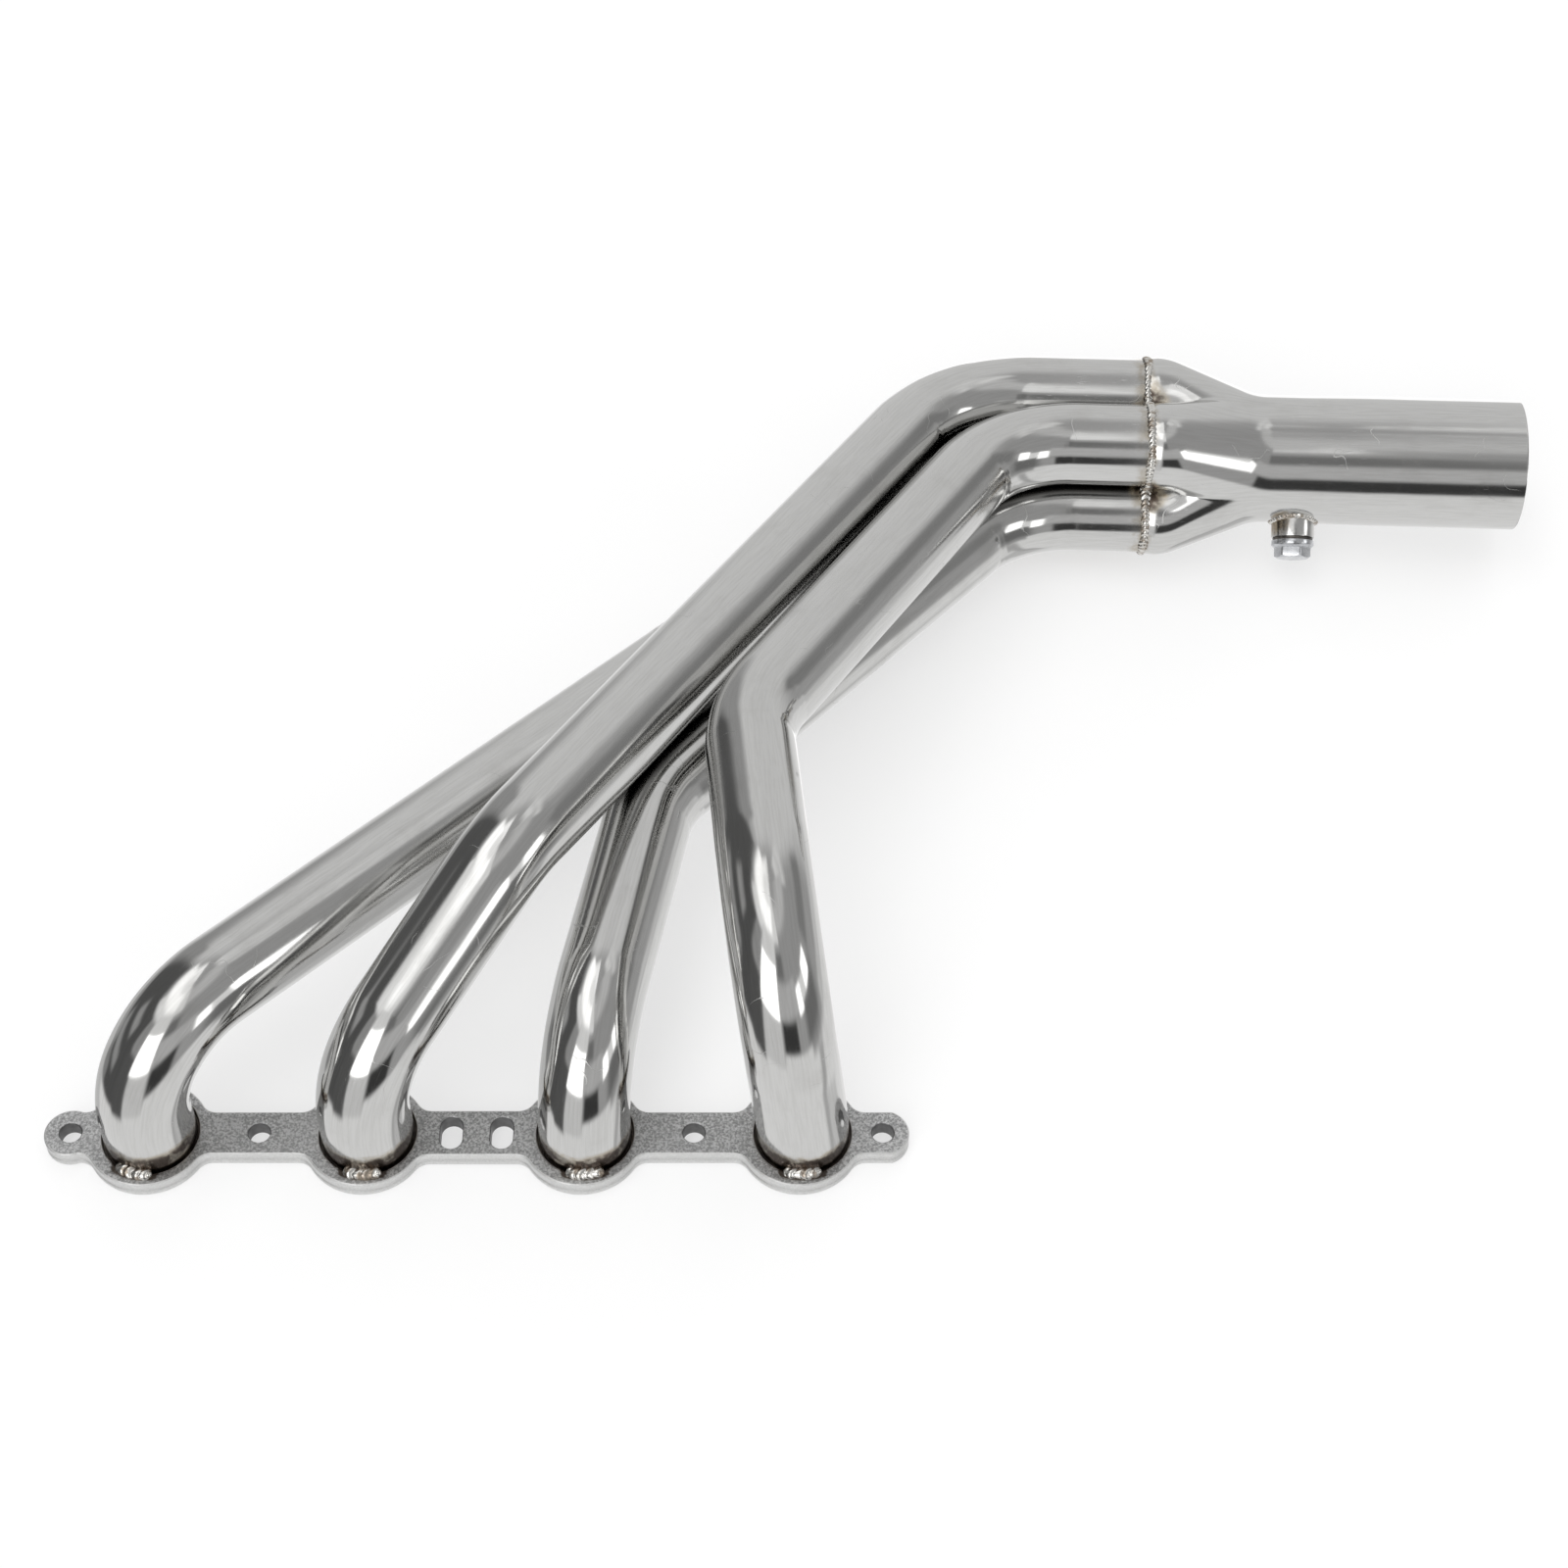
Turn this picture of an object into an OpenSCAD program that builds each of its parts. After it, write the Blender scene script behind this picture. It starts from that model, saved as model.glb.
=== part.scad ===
// Long-tube exhaust manifold: four bent primary tubes run from a cylinder-head flange
// into one formed merge collector with a sensor bung. Units are millimetres.
// The flange's port face lies on Z = 0 and the cylinder head is below it. X runs along
// the row of ports towards the collector, Y runs across it towards the collector, and
// the origin is the middle of the port face.

/* [Head flange] */
// Distance between neighbouring exhaust ports
port_pitch = 111.76; // [111:0.01:113]
// Thickness of the flange plate
flange_t = 9.525; // [8:0.005:12]
// Height of the flange's straps across Y, beside the bolt holes
strap_h = 25.2; // [24:0.1:28]
// Height of the middle strap, which holds the two slots
mid_strap_h = 26.8; // [24:0.1:30]
// Radius of the round lobe at each port
lobe_r = 31.5; // [30:0.1:34]
// How far each lobe's centre sits from its port, along X
lobe_shift = -1.5; // [-2:0.1:2]
// Radius of the inside corners between the lobes and the straps
lobe_fillet = 9; // [6:0.5:11]
// Radius of the two end tabs
tab_r = 13.6; // [13:0.1:15]
// Distance from the flange's middle to the bolt hole in each end tab
end_hole_x = 208.85; // [207:0.05:211]
// Diameter of the round bolt holes
hole_d = 11.5; // [10:0.1:12]
// Width of the two slotted bolt holes
slot_w = 11.7; // [10:0.1:12]
// End-to-end length of the slots, across Y
slot_l = 19; // [16:0.5:20]
// Distance between the two slots
slot_pitch = 25.96; // [24:0.01:27]
// Chamfer on the edges of the bolt holes
hole_chamfer = 0.5; // [0.2:0.1:0.8]

/* [Primary tubes] */
// Outside diameter of the primary tubes
tube_od = 47.6; // [46.5:0.1:47.6]
// Wall thickness of the primary tubes
tube_wall = 1.6; // [1.2:0.1:2]
// How far each tube's end stands back from the port face
tube_recess = 2; // [1:0.1:3]

/* [Merge collector] */
// Position of the collector's inlet along X
inlet_x = 372; // [370:1:376]
// Position of the collector's inlet across Y
inlet_y = 446; // [444:1:450]
// Height of the collector's inlet above the port face
inlet_z = 54.5; // [54:0.5:60]
// Angle by which the collector's axis turns towards -Y
collector_yaw = 2.1; // [1:0.1:3]
// Angle of the second tube's place around the collector, from the side towards +Z
clover_turn = 35.5; // [34:0.5:37]
// Distance from the collector's axis to each tube's axis at the inlet
clover_r = 33.8; // [33.8:0.1:34]
// Radius of each lobe past the neck
cup_r = 25.2; // [24.8:0.1:25.6]
// Outside diameter of the round outlet
outlet_od = 76.2; // [76:0.1:76.4]
// Thickness of the collector's sheet
collector_wall = 1.6; // [1.4:0.1:1.8]
// Whole length of the collector
collector_l = 220; // [200:1:240]
// Length of the outlet's end that is sized to its full diameter
sized_l = 108; // [100:1:110]
// Length of the straight taper from the clover to the round
taper_l = 52; // [48:1:56]
// Distance from the inlet to the start of the taper
shoulder_x = 13; // [11:1:15]

/* [Sensor bung and plug] */
// Distance from the collector's inlet to the bung
bung_x = 89.5; // [88:0.5:110]
// Angle of the bung around the collector, from the side towards +Z
bung_turn = 216; // [200:1:230]
// Outside diameter of the bung
bung_od = 25.4; // [24:0.1:27]
// Height of the bung's face above the pipe's surface
bung_h = 9; // [8:0.5:12]
// Thread diameter of the plug, modelled as a plain cylinder
thread_d = 18; // [16:0.5:19]
// Gap between the plug and the bung's bore, all round
thread_gap = 0.05; // [0.02:0.01:0.1]
// Width of the plug's hexagon across its flats
hex_af = 19; // [17:0.5:20]
// Height of the plug's hexagon
hex_h = 6; // [5:0.5:8]
// Diameter of the plug's round collar
collar_d = 25; // [23:0.1:25.4]
// Height of the plug's round collar
collar_h = 4.4; // [3:0.1:6]
// Thickness of the sealing washer
washer_t = 1.6; // [1:0.1:2]

/* [Hidden] */

$fn = 96;
eps = 0.01;
steel = [0.78, 0.78, 0.76];
blasted_steel = [0.52, 0.52, 0.52];
weld_metal = [0.62, 0.58, 0.52];
bright_zinc = [0.74, 0.75, 0.78];

tube_r = tube_od / 2;
bore_r = tube_r - tube_wall;
ports = [for (i = [0 : 3]) (i - 1.5) * port_pitch];

// Where each tube's axis enters the collector: its angle around the collector's axis
tube_turns = [clover_turn + 270, clover_turn, clover_turn + 180, clover_turn + 90];
// Corner points of each tube's route, in order from the port, up to its last straight
corners = [
    [[ports[0], 0, 90]],
    [[ports[1], 0, 66], [20, 97, 126]],
    [[ports[2], 0, 72], [88, 170, 71]],
    [[ports[3], 0, 19], [154, 4, 155], [139, 182, 124]]
];
// Length of each tube's last straight, from its last corner to the collector
last_runs = [100, 118, 80, 86];
// Bend radius at each corner, the last corner included
bend_radii = [[54, 69], [55, 65, 85], [56, 74, 84], [67, 74, 80, 72]];

// The tubes' relief in the flange, which leaves a dark ring around each tube
relief_gap = 1.1;
relief_depth = 3.5;
port_clearance = 0.05;
// Each bend is drawn a little thinner than the straights, and laps inside their ends
bend_thin = 0.2;
bend_lap = 0.4;

// Outside welds at the flange: leg length, the arc that each covers, and where each is centred
bead_leg = 4.8;
bead_arc = 50;
bead_turns = [-103, -92, -88, -90];
// The bead around the collector's inlet, and the lumps in its four valleys
seam_r = 2.1;
seam_arc = 252;
lump_r = 3.4;
lump_at = 27.4;

// The collector's skin is worked out ring by ring
ring_n = 48;
stations = [0, 3, 6, 10, 14, 20, 28, 36, 44, 52, 59, 65, 70, 74];
pipe_start = 72;
// The pipe is a little smaller before its sized end, and opens out over step_l
unsized_r = outlet_od / 2 - 0.5;
step_l = 5;
neck_l = 8;
neck_drop = 1.1;
ease_k = 0.13;
lap = 0.1;

// The bung's own heights, along its axis from the collector's axis
pipe_r = outlet_od / 2;
bung_face = pipe_r + bung_h;
bung_root = pipe_r - 4;
thread_r = thread_d / 2;
plug_reach = 11;

function unit(v) = v / norm(v);
function bend_angle(p, q, s) = acos(unit(q - p) * unit(s - q));
// Distance from a corner to where its bend starts
function setback(p, q, s, r) = r * tan(bend_angle(p, q, s) / 2);

// A point in the collector's own frame: x along it, then out by r at the given angle
function in_collector(x, r, turn) =
    [inlet_x, inlet_y, inlet_z] + x * [cos(collector_yaw), -sin(collector_yaw), 0]
    + r * cos(turn) * [sin(collector_yaw), cos(collector_yaw), 0] + [0, 0, r * sin(turn)];

// The whole route of tube i, from its end in the flange to its end in the collector
function route(i) = concat([[ports[i], 0, tube_recess]], corners[i],
    [in_collector(-last_runs[i], clover_r, tube_turns[i]), in_collector(0, clover_r, tube_turns[i])]);

// Zero below -k, u above k, and a smooth parabola between
function ease(u, k) = u > k ? u : u < -k ? 0 : (u + k) * (u + k) / (4 * k);
// 0 at the clover and 1 at the round outlet
function taper(x) = 1 - ease(1 - ease((x - shoulder_x) / taper_l, ease_k), ease_k);
function cup_offset(x) = clover_r * (1 - taper(x));
function cup_radius(x, end_r) =
    cup_r + (end_r - cup_r) * taper(x) - neck_drop * pow(max(0, 1 - x / neck_l), 2);
// Distance from the axis to the skin, at an angle from the middle of the nearest lobe
function skin_r(x, off_lobe, end_r) = cup_offset(x) * cos(off_lobe)
    + sqrt(max(0, pow(cup_radius(x, end_r), 2) - pow(cup_offset(x) * sin(off_lobe), 2)));
// One ring of points around the skin, set in from the outside by inset
function skin_ring(x, end_r, inset) = [for (j = [0 : ring_n - 1])
    let (turn = 360 * j / ring_n, off_lobe = (turn + 45) % 90 - 45, r = skin_r(x, off_lobe, end_r) - inset)
    [x, r * cos(turn + clover_turn), r * sin(turn + clover_turn)]];

// A straight length of tube or rod from p to q
module straight(p, q, r_out, r_in) {
    d = q - p;
    translate(p)
    rotate([0, acos(d.z / norm(d)), atan2(d.y, d.x)])
    difference() {
        cylinder(h = norm(d), r = r_out);
        translate([0, 0, -1])
        cylinder(h = norm(d) + 2, r = r_in);
    }
}

// The bend at corner q, between the straights from p and to s
module elbow(p, q, s, bend_r, r_out, r_in) {
    turn = bend_angle(p, q, s);
    lap_turn = bend_lap / bend_r * 180 / PI;
    ahead = unit(q - p);
    inward = unit(unit(s - q) - ahead * cos(turn));
    hub = q - ahead * setback(p, q, s, bend_r) + inward * bend_r;
    up = cross(-inward, ahead);
    multmatrix([
        [-inward.x, ahead.x, up.x, hub.x],
        [-inward.y, ahead.y, up.y, hub.y],
        [-inward.z, ahead.z, up.z, hub.z]])
    rotate([0, 0, -lap_turn])
    rotate_extrude(angle = turn + 2 * lap_turn)
    translate([bend_r, 0])
    difference() {
        circle(r = r_out - bend_thin);
        circle(r = r_in + bend_thin);
    }
}

// One mandrel-bent tube through a list of points, with a bend at each inner point
module bent_tube(points, radii, r_out, r_in) {
    last = len(points) - 1;
    cuts = [for (k = [1 : last - 1]) setback(points[k - 1], points[k], points[k + 1], radii[k - 1])];
    for (k = [0 : last - 1]) {
        along = unit(points[k + 1] - points[k]);
        start = points[k] + along * (k == 0 ? 0 : cuts[k - 1]);
        end = points[k + 1] - along * (k == last - 1 ? 0 : cuts[k]);
        straight(start, end, r_out, r_in);
    }
    for (k = [1 : last - 1]) {
        elbow(points[k - 1], points[k], points[k + 1], radii[k - 1], r_out, r_in);
    }
}

// Puts +X along the collector's axis, with the origin at its inlet
module collector_frame() {
    translate([inlet_x, inlet_y, inlet_z])
    rotate([0, 0, -collector_yaw])
    children();
}

// Puts +Z along the bung's axis, with the origin on the collector's axis
module bung_frame() {
    collector_frame()
    translate([bung_x, 0, 0])
    rotate([bung_turn, 0, 0])
    rotate([-90, 0, 0])
    children();
}

// The concave corner between a lobe's circle and a strap's straight edge
module lobe_corner(strap, side_x, side_y) {
    corner_y = strap / 2 + lobe_fillet;
    corner_x = sqrt(pow(lobe_r + lobe_fillet, 2) - pow(corner_y, 2));
    scale([side_x, side_y])
    difference() {
        square([corner_x, corner_y]);
        translate([corner_x, corner_y])
        circle(r = lobe_fillet);
    }
}

// The plate's outline: a strap with two end tabs and a round lobe at each port
module flange_outline() {
    square([2 * end_hole_x, strap_h], center = true);
    square([port_pitch, mid_strap_h], center = true);
    for (side = [-1, 1]) {
        translate([side * end_hole_x, 0])
        circle(r = tab_r);
    }
    for (i = [0 : 3]) {
        translate([ports[i] + lobe_shift, 0]) {
            circle(r = lobe_r);
            for (side_y = [-1, 1]) {
                lobe_corner(i == 2 ? mid_strap_h : strap_h, -1, side_y);
                lobe_corner(i == 1 ? mid_strap_h : strap_h, 1, side_y);
            }
        }
    }
}

// A bolt hole through the plate, with a chamfer at both faces
module bolt_hole(d) {
    translate([0, 0, -1])
    cylinder(h = flange_t + 2, d = d);
    for (flip = [0, 1]) {
        translate([0, 0, flip * flange_t])
        mirror([0, 0, flip])
        translate([0, 0, -eps])
        cylinder(h = hole_chamfer, d1 = d + 2 * hole_chamfer, d2 = d);
    }
}

// A bolt hole drawn out across Y
module slot() {
    throw = (slot_l - slot_w) / 2;
    for (side = [-1, 1]) {
        translate([0, side * throw, 0])
        bolt_hole(slot_w);
    }
    translate([-slot_w / 2, -throw, -1])
    cube([slot_w, 2 * throw, flange_t + 2]);
}

module head_flange() {
    color(blasted_steel)
    difference() {
        linear_extrude(flange_t) flange_outline();
        for (x = ports) {
            translate([x, 0, -1])
            cylinder(h = flange_t + 2, r = tube_r + port_clearance);
            translate([x, 0, flange_t - relief_depth])
            cylinder(h = relief_depth + 1, r = tube_r + relief_gap);
        }
        for (side = [-1, 1]) {
            translate([side * end_hole_x, 0, 0])
            bolt_hole(hole_d);
            translate([side * port_pitch, 0, 0])
            bolt_hole(hole_d);
            translate([side * slot_pitch / 2, 0, 0])
            slot();
        }
    }
}

module primary_tube(i) {
    color(steel)
    bent_tube(route(i), bend_radii[i], tube_r, bore_r);
}

// The weld that seals a tube's end to the flange, flush with the port face
module port_weld(i) {
    color(weld_metal)
    translate([ports[i], 0, 0])
    rotate_extrude()
    polygon([
        [bore_r, 0],
        [tube_r + port_clearance, 0],
        [tube_r + port_clearance, tube_recess],
        [bore_r, tube_recess]]);
}

// A short fillet bead on the outside of a tube, where it stands on the flange
module flange_weld(i) {
    color(weld_metal)
    translate([ports[i], 0, flange_t])
    rotate([0, 0, bead_turns[i] - bead_arc / 2])
    rotate_extrude(angle = bead_arc)
    polygon([
        [tube_r, 0],
        [tube_r + bead_leg, 0],
        [tube_r + bead_leg * 0.85, bead_leg * 0.45],
        [tube_r + bead_leg * 0.45, bead_leg * 0.85],
        [tube_r, bead_leg]]);
}

// The star that closes the gap between the four tubes, with a spear that guides the gas
module merge_plug() {
    plate = 6;
    plate_r = 21.5;
    spear_l = 26;
    spear_gap = 0.4;
    spear_tip_r = 1.5;
    color(weld_metal)
    collector_frame() {
        translate([-plate, 0, 0])
        rotate([90, 0, 90])
        linear_extrude(plate)
        difference() {
            circle(r = plate_r);
            for (turn = tube_turns) {
                rotate(turn)
                translate([clover_r, 0])
                circle(r = tube_r + port_clearance);
            }
        }
        rotate([0, 90, 0])
        cylinder(h = spear_l, r1 = clover_r - tube_r - spear_gap, r2 = spear_tip_r);
    }
}

// The bead that follows the clover where the tubes meet the collector
module collector_weld() {
    color(weld_metal)
    collector_frame() {
        for (turn = tube_turns) {
            rotate([turn, 0, 0])
            translate([0, clover_r, 0])
            rotate([90, 0, 90])
            rotate([0, 0, -seam_arc / 2])
            rotate_extrude(angle = seam_arc)
            translate([tube_r, 0])
            circle(r = seam_r);
            rotate([turn + 45, 0, 0])
            translate([0, lump_at, 0])
            sphere(r = lump_r);
        }
    }
}

// The formed sheet from the clover to the round, as an outer and an inner skin joined at both ends
module formed_sheet() {
    count = len(stations);
    outer = [for (x = stations) each skin_ring(x, unsized_r - lap, 0)];
    inner = [for (x = stations) each skin_ring(x, unsized_r + lap, collector_wall)];
    inner_first = count * ring_n;
    last = (count - 1) * ring_n;
    faces = [for (j = [0 : ring_n - 1]) let (next = (j + 1) % ring_n) each concat(
        [for (k = [0 : count - 2]) let (a = k * ring_n + j, b = k * ring_n + next)
            each [[a, b + ring_n, b], [a, a + ring_n, b + ring_n]]],
        [for (k = [0 : count - 2])
            let (a = inner_first + k * ring_n + j, b = inner_first + k * ring_n + next)
            each [[a, b, b + ring_n], [a, b + ring_n, a + ring_n]]],
        [[j, inner_first + next, inner_first + j], [j, next, inner_first + next]],
        [for (quad = [[last + j, inner_first + last + j, inner_first + last + next, last + next]])
            each [[quad[0], quad[1], quad[2]], [quad[0], quad[2], quad[3]]]]
    )];
    polyhedron(points = concat(outer, inner), faces = faces, convexity = 6);
}

// The round pipe: the smaller stretch that carries the bung, a short step, then the sized end
module outlet_pipe() {
    step_end = collector_l - sized_l;
    outside = [[unsized_r, pipe_start], [unsized_r, step_end - step_l], [pipe_r, step_end], [pipe_r, collector_l]];
    inside = [for (k = [3 : -1 : 0]) outside[k] - [collector_wall, 0]];
    rotate([0, 90, 0])
    rotate_extrude()
    polygon(concat(outside, inside));
}

module merge_collector() {
    color(steel)
    collector_frame()
    difference() {
        union() {
            formed_sheet();
            outlet_pipe();
        }
        translate([bung_x, 0, 0])
        rotate([bung_turn, 0, 0])
        rotate([-90, 0, 0])
        cylinder(h = bung_face, r = bung_od / 2);
    }
}

module sensor_bung() {
    mouth = 0.8;
    color(steel)
    bung_frame()
    difference() {
        translate([0, 0, bung_root])
        cylinder(h = bung_face - bung_root, d = bung_od);
        translate([0, 0, bung_root - 1])
        cylinder(h = bung_face - bung_root + 2, r = thread_r + thread_gap);
        translate([0, 0, bung_face - mouth])
        cylinder(h = mouth + eps, r1 = thread_r + thread_gap, r2 = thread_r + thread_gap + mouth);
    }
}

// The saddle-shaped bead between the bung and the pipe
module bung_weld() {
    bead_h = 2.2;
    reach = 25;
    flare = 14;
    top_w = 0.2;
    color(weld_metal)
    intersection() {
        collector_frame()
        translate([bung_x - reach, 0, 0])
        rotate([0, 90, 0])
        difference() {
            cylinder(h = 2 * reach, r = unsized_r + bead_h);
            translate([0, 0, -1])
            cylinder(h = 2 * reach + 2, r = unsized_r);
        }
        bung_frame()
        difference() {
            cylinder(h = bung_face, r1 = bung_od / 2 + flare, r2 = bung_od / 2 + top_w);
            translate([0, 0, -1])
            cylinder(h = bung_face + 2, d = bung_od);
        }
    }
}

module plug_washer() {
    color(bright_zinc)
    bung_frame()
    translate([0, 0, bung_face])
    difference() {
        cylinder(h = washer_t, d = collar_d - 1);
        translate([0, 0, -1])
        cylinder(h = washer_t + 2, r = thread_r + thread_gap);
    }
}

module sensor_plug() {
    seat = bung_face + washer_t;
    tip = bung_face - plug_reach;
    tip_chamfer = 1.2;
    collar_chamfer = 1.6;
    hex_turn = 12;
    corner_r = hex_af / sqrt(3);
    blank_r = corner_r + 0.5;
    hex_top_r = hex_af / 2 - 0.4;
    hex_chamfer = (blank_r - hex_top_r) * tan(30);
    color(bright_zinc)
    bung_frame() {
        translate([0, 0, tip])
        cylinder(h = tip_chamfer, r1 = thread_r - tip_chamfer, r2 = thread_r);
        translate([0, 0, tip + tip_chamfer])
        cylinder(h = seat - tip - tip_chamfer, r = thread_r);
        translate([0, 0, seat])
        cylinder(h = collar_h - collar_chamfer, d = collar_d);
        translate([0, 0, seat + collar_h - collar_chamfer])
        cylinder(h = collar_chamfer, d1 = collar_d, d2 = collar_d - 2 * collar_chamfer);
        translate([0, 0, seat + collar_h])
        intersection() {
            rotate([0, 0, hex_turn])
            cylinder(h = hex_h, r = corner_r, $fn = 6);
            union() {
                cylinder(h = hex_h - hex_chamfer, r = blank_r);
                translate([0, 0, hex_h - hex_chamfer])
                cylinder(h = hex_chamfer, r1 = blank_r, r2 = hex_top_r);
            }
        }
    }
}

head_flange();
primary_tube(0);  // primary_tube_1
primary_tube(1);  // primary_tube_2
primary_tube(2);  // primary_tube_3
primary_tube(3);  // primary_tube_4
port_weld(0);  // port_weld_1
port_weld(1);  // port_weld_2
port_weld(2);  // port_weld_3
port_weld(3);  // port_weld_4
flange_weld(0);  // flange_weld_1
flange_weld(1);  // flange_weld_2
flange_weld(2);  // flange_weld_3
flange_weld(3);  // flange_weld_4
merge_plug();
collector_weld();
merge_collector();
bung_weld();
sensor_bung();
plug_washer();
sensor_plug();
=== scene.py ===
"""A polished long-tube exhaust manifold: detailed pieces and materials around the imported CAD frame.

Shapes are worked out in millimetres in the CAD's own frame and stored in metres. The port
face lies on Z = 0, X runs along the ports towards the collector and Y across them.
"""
import math

import bmesh
import bpy
import numpy as np
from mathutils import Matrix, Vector
from mathutils.geometry import tessellate_polygon
from mathutils.kdtree import KDTree


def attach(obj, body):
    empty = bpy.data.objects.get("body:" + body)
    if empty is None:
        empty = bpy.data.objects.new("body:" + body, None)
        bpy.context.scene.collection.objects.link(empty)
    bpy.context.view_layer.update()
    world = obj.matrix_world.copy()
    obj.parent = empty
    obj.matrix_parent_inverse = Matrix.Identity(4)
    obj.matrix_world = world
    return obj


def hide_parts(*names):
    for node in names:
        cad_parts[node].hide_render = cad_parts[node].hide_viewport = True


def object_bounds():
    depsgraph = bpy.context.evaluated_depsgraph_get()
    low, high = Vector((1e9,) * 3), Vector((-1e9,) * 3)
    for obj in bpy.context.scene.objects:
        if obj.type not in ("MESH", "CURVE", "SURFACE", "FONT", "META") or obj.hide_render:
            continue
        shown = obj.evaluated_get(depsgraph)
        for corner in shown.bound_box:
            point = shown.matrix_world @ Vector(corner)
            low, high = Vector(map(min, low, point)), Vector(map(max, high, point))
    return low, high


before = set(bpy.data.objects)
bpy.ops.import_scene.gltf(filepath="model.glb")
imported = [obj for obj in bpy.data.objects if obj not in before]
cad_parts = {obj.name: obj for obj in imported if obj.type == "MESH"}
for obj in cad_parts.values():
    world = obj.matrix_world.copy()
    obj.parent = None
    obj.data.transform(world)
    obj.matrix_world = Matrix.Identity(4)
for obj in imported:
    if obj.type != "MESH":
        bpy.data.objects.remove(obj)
cad_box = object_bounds()
scene = bpy.context.scene

MM = 0.001

# Head flange
PORT_PITCH = 111.76
PORTS = [(i - 1.5) * PORT_PITCH for i in range(4)]
FLANGE_T = 9.525
STRAP_H = 25.2
MID_STRAP_H = 26.8
LOBE_R = 31.5
LOBE_SHIFT = -1.5
LOBE_FILLET = 9
TAB_R = 13.6
END_HOLE_X = 208.85
HOLE_R = 5.75
SLOT_R = 5.85
SLOT_THROW = 3.65
SLOT_PITCH = 25.96
HOLE_CHAMFER = 0.5
EDGE_ROUND = 0.6
RELIEF_GAP = 1.1
RELIEF_DEPTH = 3.5
PORT_CLEARANCE = 0.05
# Where each tube's bead sits round its foot, and how far it runs to either side, in degrees
BEAD_TURNS = (-103, -92, -88, -90)
BEAD_SPAN = 23

# Primary tubes
TUBE_R = 23.8
BORE_R = 22.2
TUBE_RECESS = 2
# How much smaller a tube gets in a bend: all round, and more at the stretched outer side
BEND_THIN = 0.2
BEND_FLAT = 0.35
# The tube's last skin of metal that polishing took off
POLISH_CUT = 0.03
TUBE_COLUMNS = 128
# Corner points of each tube's axis between its port and its last run, which is straight
CORNERS = [
    [[PORTS[0], 0, 90]],
    [[PORTS[1], 0, 66], [20, 97, 126]],
    [[PORTS[2], 0, 72], [88, 170, 71]],
    [[PORTS[3], 0, 19], [154, 4, 155], [139, 182, 124]],
]
LAST_RUNS = [100, 118, 80, 86]
BEND_RADII = [[54, 69], [55, 65, 85], [56, 74, 84], [67, 74, 80, 72]]

# Merge collector
# The middle of the clover, where the tubes end
INLET = np.array([372, 446, 54.5])
YAW = math.radians(2.1)
CLOVER_TURN = math.radians(35.5)
CLOVER_R = 33.8
CUP_R = 25.2
PIPE_R = 38.1
UNSIZED_R = 37.6
SIZED_L = 108
STEP_L = 5
WALL = 1.6
COLLECTOR_L = 220
SHOULDER_X = 13
TAPER_L = 52
NECK_L = 8
NECK_DROP = 1.1
EASE = 0.13
COLLECTOR_COLUMNS = 256
TUBE_TURNS = [CLOVER_TURN + math.radians(a) for a in (270, 0, 180, 90)]

# Sensor bung and plug
BUNG_X = 89.5
BUNG_TURN = math.radians(216)
BUNG_R = 12.7
BUNG_FACE = PIPE_R + 9
BUNG_ROOT = PIPE_R - 4
THREAD_R = 9
THREAD_GAP = 0.05
WASHER_T = 1.6
COLLAR_R = 12.5
COLLAR_H = 4.4
# The hexagon's width across its flats
HEX_AF = 19
HEX_H = 6
HEX_TURN = math.radians(12)
PLUG_REACH = 11

# The photograph's viewpoint: where it aims, how far away it is and how far it looks down
AIM = (0.1581, 0.1980, 0.0500)
CAMERA_DISTANCE = 1.6557
CAMERA_PITCH = 50.96
LENS = 69.75

# Shifts along the polishing pattern, so that no two pieces show the same stretch of it
TUBE_PATTERN_SHIFT = 700
COLLECTOR_PATTERN_SHIFT = 5000

# What a sum of random waves is divided by, so that it mostly stays between -1 and 1
WAVE_SUM = 3.4

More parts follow.
